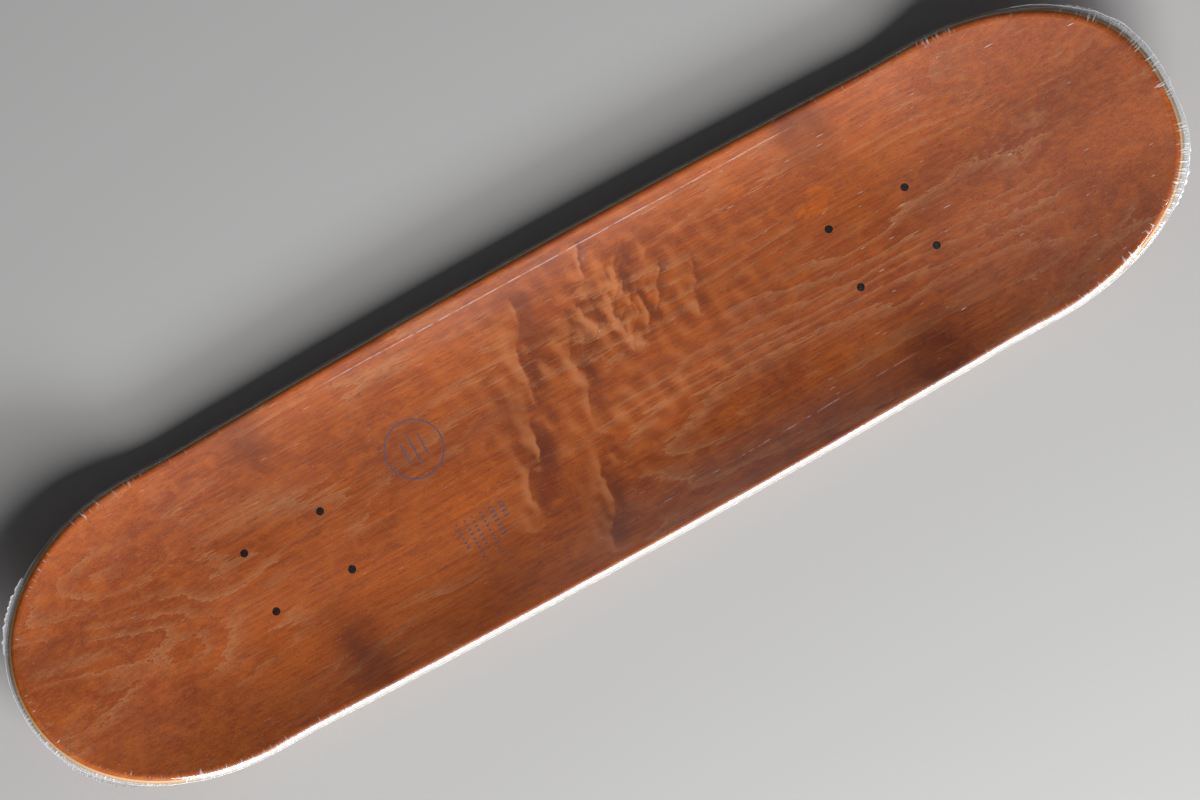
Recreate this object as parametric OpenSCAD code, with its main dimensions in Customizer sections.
// Seven-ply maple skateboard deck in its clear shrink film, lying on its belly.
// +X runs from tail to nose, +Y is the left rail seen from above, +Z is up.
// The origin is on the floor, under the middle of the deck's own length and width.

/* [Plan shape] */
// Length from tail tip to nose tip, seen from above
deck_length = 800; // [780:1:830]
// Width across the rails at the middle
deck_width = 200; // [194:1:212]
// Half width where the kicks begin
kick_half_width = 96.5; // [92:0.5:97]
// How far the middle of the truck holes sits behind the middle of the deck
wheelbase_setback = 2.5; // [0:0.5:6]
// Squareness of the nose outline, where 2 is an ellipse
nose_squareness = 2.4; // [2:0.1:2.8]
// Squareness of the tail outline, where 2 is an ellipse
tail_squareness = 2.1; // [2:0.1:2.8]

/* [Side shape] */
// Angle of the nose kick
nose_angle = 19.5; // [16:0.1:24]
// Angle of the tail kick
tail_angle = 18; // [16:0.1:24]
// Radius of the bend into each kick, at the underside
bend_radius = 110; // [90:1:160]
// Flat length between the outer truck holes and the start of a bend
bend_clearance = 12; // [8:1:20]

/* [Concave] */
// Half width of the flat strip along the middle
flat_half_width = 26; // [25:0.5:34]
// Height that the rails rise above the flat strip
concave_depth = 11; // [6:0.5:14]

/* [Veneers] */
// Thickness of the two face plies and the two crossbands
thin_ply = 1.45; // [1.2:0.05:1.6]
// Thickness of the three long-grain core plies
core_ply = 1.6; // [1.4:0.05:1.8]
// Thickness of each line of glue
glue_line = 0.06; // [0.05:0.01:0.1]
// How far the rounded edge cuts back the two face plies
face_ply_inset = 1.6; // [0.8:0.1:2.2]
// How far the rounded edge cuts back the plies next to them
second_ply_inset = 0.4; // [0:0.1:0.8]

/* [Truck holes] */
// Distance between the inner holes of the two trucks
wheelbase = 362; // [350:0.5:370]
// Spacing of a truck's holes along the deck
hole_spacing_x = 53.975; // [53.975, 63.5]
// Spacing of a truck's holes across the deck
hole_spacing_y = 41.275; // [41.275]
// Radius of each hole
hole_radius = 2.6; // [2.5:0.05:2.8]

/* [Film and print] */
// Thickness that the shrink film is drawn at
film = 0.12; // [0.1:0.01:0.2]
// Thickness of the printed ink
ink = 0.04; // [0.03:0.01:0.05]
// Room for the ink under the film
ink_gap = 0.06; // [0.06:0.01:0.1]
// Width of the welded seam bead round the edge
seam_width = 0.9; // [0.6:0.1:1.4]
// Height of the welded seam bead
seam_height = 0.5; // [0.3:0.1:0.8]
// How far the gathered film stands out at each corner
gather_width = 2.6; // [1.5:0.1:3.5]
// Radius of the printed ring emblem
emblem_radius = 19; // [14:0.5:19]
// Width of the emblem's lines
emblem_line = 0.9; // [0.6:0.1:1.4]

/* [Hidden] */
$fn = 128;

// Each ply from the top down: its thickness and how far its edge is cut back.
plies = [
    [thin_ply, face_ply_inset],
    [core_ply, second_ply_inset],
    [thin_ply, 0],
    [core_ply, 0],
    [thin_ply, 0],
    [core_ply, second_ply_inset],
    [thin_ply, face_ply_inset],
];
ply_count = len(plies);
function wood_above(i) = i < 1 ? 0 : wood_above(i - 1) + plies[i - 1][0] + glue_line;
wood_top = film + wood_above(ply_count) - glue_line;
film_underside = wood_top + ink_gap;
stack_top = film_underside + film;
stack_middle = stack_top / 2;

// The radius at the underside whose arc rises by the concave's depth at the rail.
concave_run = deck_width / 2 - flat_half_width;
concave_radius = (concave_run * concave_run + concave_depth * concave_depth) / (2 * concave_depth);
rail_wedge_angle = 24;

// Everything lengthwise is measured from the middle of the truck holes.
flat_reach = wheelbase / 2 + hole_spacing_x + bend_clearance;
nose_reach = deck_length / 2 + wheelbase_setback;
tail_reach = deck_length / 2 - wheelbase_setback;
function kick_length(reach, angle) =
    (reach - flat_reach - (bend_radius - stack_middle) * sin(angle)) / cos(angle);
nose_length = kick_length(nose_reach, nose_angle);
tail_length = kick_length(tail_reach, tail_angle);

// A kick is turned in two steps whose rounding to six places cancels out, so that it
// meets the end of its bend exactly.
nose_first_turn = 4.869;
tail_first_turn = 7.966;

// How a kick differs: its angle, its length past the bend, its outline's squareness and
// its first turn.
nose = [nose_angle, nose_length, nose_squareness, nose_first_turn];
tail = [tail_angle, tail_length, tail_squareness, tail_first_turn];
far = 300;
side_steps = 12;
end_steps = 26;

hole_places = [
    for (truck = [-1, 1], along = [0, 1], across = [-1, 1])
        [truck * (wheelbase / 2 + along * hole_spacing_x), across * hole_spacing_y / 2]
];

// Half width of the middle part at x, bowed a little between the two bends.
function side_at(x) =
    kick_half_width + (deck_width / 2 - kick_half_width) * (1 - pow(x / flat_reach, 2));

// The lateral section between two heights: a flat strip with an arc rising on each side.
module section(low, high) {
    translate([-flat_half_width, low])
        square([2 * flat_half_width, high - low]);
    for (side = [-1, 1])
        translate([side * flat_half_width, concave_radius])
            intersection() {
                difference() {
                    circle(concave_radius - low);
                    circle(concave_radius - high);
                }
                polygon([
                    [0, 0],
                    [0, -2 * concave_radius],
                    [side * 2 * concave_radius * tan(rail_wedge_angle), -2 * concave_radius],
                ]);
            }
}

// The middle part's outline grown by grow, or only its two rims where it is cored.
module middle_outline(grow, core) {
    steps = [for (i = [-side_steps:side_steps]) flat_reach * i / side_steps];
    for (side = is_undef(core) ? [1] : [-1, 1])
        polygon(concat(
            [for (x = steps) [x, side * (side_at(x) + grow)]],
            [
                for (i = [len(steps) - 1:-1:0])
                    [steps[i], is_undef(core) ? -side_at(steps[i]) - grow : side * (side_at(steps[i]) + core)]
            ]
        ));
}

// Moves its children from the kick's own flat plane to the end of the bend.
module at_kick(kick) {
    translate([flat_reach, 0, bend_radius])
        rotate([0, -kick[3], 0])
            rotate([0, kick[3] - kick[0], 0])
                translate([0, 0, -bend_radius])
                    children();
}

// A superellipse quarter on each side of the kick's middle line, drawn back over the bend.
module kick_outline(kick, grow, back = 0) {
    quarter = [
        for (i = [0:end_steps])
            let (turn = 90 * i / end_steps)
            [(kick[1] + grow) * sin(turn), (kick_half_width + grow) * pow(cos(turn), 2 / kick[2])]
    ];
    polygon(concat(
        back > 0 ? [[-back, quarter[0][1]]] : [],
        quarter,
        [for (i = [end_steps - 1:-1:0]) [quarter[i][0], -quarter[i][1]]],
        back > 0 ? [[-back, -quarter[0][1]]] : []
    ));
}

module kick_plan(kick, grow, core) {
    if (is_undef(core))
        kick_outline(kick, grow);
    else
        difference() {
            kick_outline(kick, grow);
            kick_outline(kick, core, 1);
        }
}

module swept_straight(low, high, run) {
    rotate([90, 0, 90])
        linear_extrude(run)
            section(low, high);
}

// The section inside the kick's straight sides, or only its two rims where it is cored.
module bend_section(low, high, grow, core) {
    half = kick_half_width + grow;
    intersection() {
        section(low, high);
        if (is_undef(core))
            translate([-half, -far])
                square([2 * half, 2 * far]);
        else
            for (side = [0, 1])
                mirror([side, 0])
                    translate([kick_half_width + core, -far])
                        square([grow - core, 2 * far]);
    }
}

// One end of a layer, drawn towards +X: the bend, then the kick.
module layer_end(low, high, grow, core, kick) {
    translate([flat_reach, 0, bend_radius])
        rotate([90, 0, 0])
            rotate([0, 0, -90])
                rotate_extrude(angle = kick[0])
                    translate([bend_radius, 0])
                        rotate(90)
                            bend_section(low, high, grow, core);
    at_kick(kick)
        intersection() {
            rotate([90, 0, 90])
                linear_extrude(far)
                    bend_section(low, high, grow);
            translate([0, 0, -far / 2])
                linear_extrude(far)
                    kick_plan(kick, grow, core);
        }
}

// A bent sheet between two heights of the stack with its outline grown or cut back.
// Given a core, only the rim outside that smaller outline is left.
module layer(low, high, grow, core) {
    translate([-wheelbase_setback, 0, 0]) {
        intersection() {
            translate([-flat_reach, 0, 0])
                swept_straight(low, high, 2 * flat_reach);
            translate([0, 0, -far])
                linear_extrude(2 * far)
                    middle_outline(grow, core);
        }
        layer_end(low, high, grow, core, nose);
        mirror([1, 0, 0])
            layer_end(low, high, grow, core, tail);
    }
}

module truck_holes() {
    for (place = hole_places)
        translate([place[0] - wheelbase_setback, place[1], -far])
            cylinder(r = hole_radius, h = 2 * far);
}

module ply(i) {
    high = wood_top - wood_above(i);
    difference() {
        layer(high - plies[i][0], high, -plies[i][1]);
        truck_holes();
    }
}

// The glue under ply i reaches as far as the smaller of the two plies it joins.
module glue(i) {
    high = wood_top - wood_above(i) - plies[i][0];
    difference() {
        layer(high - glue_line, high, -max(plies[i][1], plies[i + 1][1]));
        truck_holes();
    }
}

// Ink lies on the top face wherever its flat artwork is.
module inked() {
    intersection() {
        layer(wood_top, wood_top + ink, -face_ply_inset - 1);
        linear_extrude(far)
            children();
    }
}

module ring(outer, width) {
    difference() {
        circle(outer);
        circle(outer - width);
    }
}

// A plain ring round three level bars of different length.
module emblem_art() {
    translate([-111 - wheelbase_setback, 26]) {
        ring(emblem_radius, emblem_line);
        for (bar = [-1:1])
            translate([bar * emblem_radius / 3 - emblem_line / 2, -emblem_radius * (0.55 - abs(bar) * 0.15)])
                square([emblem_line, 2 * emblem_radius * (0.55 - abs(bar) * 0.15)]);
    }
}

// Rows of short plain dashes, set across the deck.
module bar_art() {
    rows = [[0, 4, 3.4], [-7, 7, 3.4], [-13, 10, 1.8], [-19, 8, 1.8], [-24, 10, 1.8], [-30, 6, 1.8]];
    for (row = rows, dash = [0:row[1] - 1])
        translate([-82 - wheelbase_setback + row[0], -29 - dash * 3.1])
            square([row[2], 1.1]);
}

module printed_emblem() {
    color("#5a5068") inked() emblem_art();
}

module printed_bars() {
    color("#5a5068") inked() bar_art();
}

// The upper half of the wrap: a sheet over the top with a skirt down to the seam.
module wrap_film_top() {
    color("#dfe8ee", 0.35)
        difference() {
            union() {
                layer(film_underside, stack_top, film);
                layer(stack_middle, film_underside, film, 0);
            }
            truck_holes();
        }
}

// The lower half of the wrap: a tray under the belly with a skirt up to the seam.
module wrap_film_bottom() {
    color("#dfe8ee", 0.35)
        difference() {
            union() {
                layer(0, film, film);
                layer(film, stack_middle, film, 0);
            }
            truck_holes();
        }
}

module wrap_weld_seam() {
    color("#e8eef4", 0.6)
        layer(stack_middle - seam_height / 2, stack_middle + seam_height / 2, film + seam_width, film);
}

// Film gathered into a small fin at each corner of the two kicks.
module wrap_corner_gathers() {
    inner = film + seam_width;
    corner_turn = 54;
    fin_reach = 26;
    color("#e8eef4", 0.6)
        for (end = [0, 1], side = [-1, 1]) {
            kick = end == 0 ? nose : tail;
            place = [kick[1] * sin(corner_turn), side * kick_half_width * pow(cos(corner_turn), 2 / kick[2])];
            translate([-wheelbase_setback, 0, 0])
                mirror([end, 0, 0])
                    at_kick(kick)
                        intersection() {
                            swept_straight(stack_middle - seam_height / 3, stack_middle + seam_height / 3, far);
                            translate([0, 0, -far / 2])
                                linear_extrude(far)
                                    difference() {
                                        kick_outline(kick, inner + gather_width);
                                        kick_outline(kick, inner);
                                    }
                            translate([place[0], place[1], -far / 2])
                                cylinder(r = fin_reach, h = far);
                        }
        }
}

color("#a3562b") ply(0);  // ply_1_top_face
color("#d9b98a") ply(1);  // ply_2_core
color("#c9a878") ply(2);  // ply_3_crossband
color("#d9b98a") ply(3);  // ply_4_core
color("#c9a878") ply(4);  // ply_5_crossband
color("#d9b98a") ply(5);  // ply_6_core
color("#a3562b") ply(6);  // ply_7_bottom_face
color("#8a6a44") glue(0);  // ply_glue_1
color("#8a6a44") glue(1);  // ply_glue_2
color("#8a6a44") glue(2);  // ply_glue_3
color("#8a6a44") glue(3);  // ply_glue_4
color("#8a6a44") glue(4);  // ply_glue_5
color("#8a6a44") glue(5);  // ply_glue_6
printed_emblem();
printed_bars();
wrap_film_top();
wrap_film_bottom();
wrap_weld_seam();
wrap_corner_gathers();
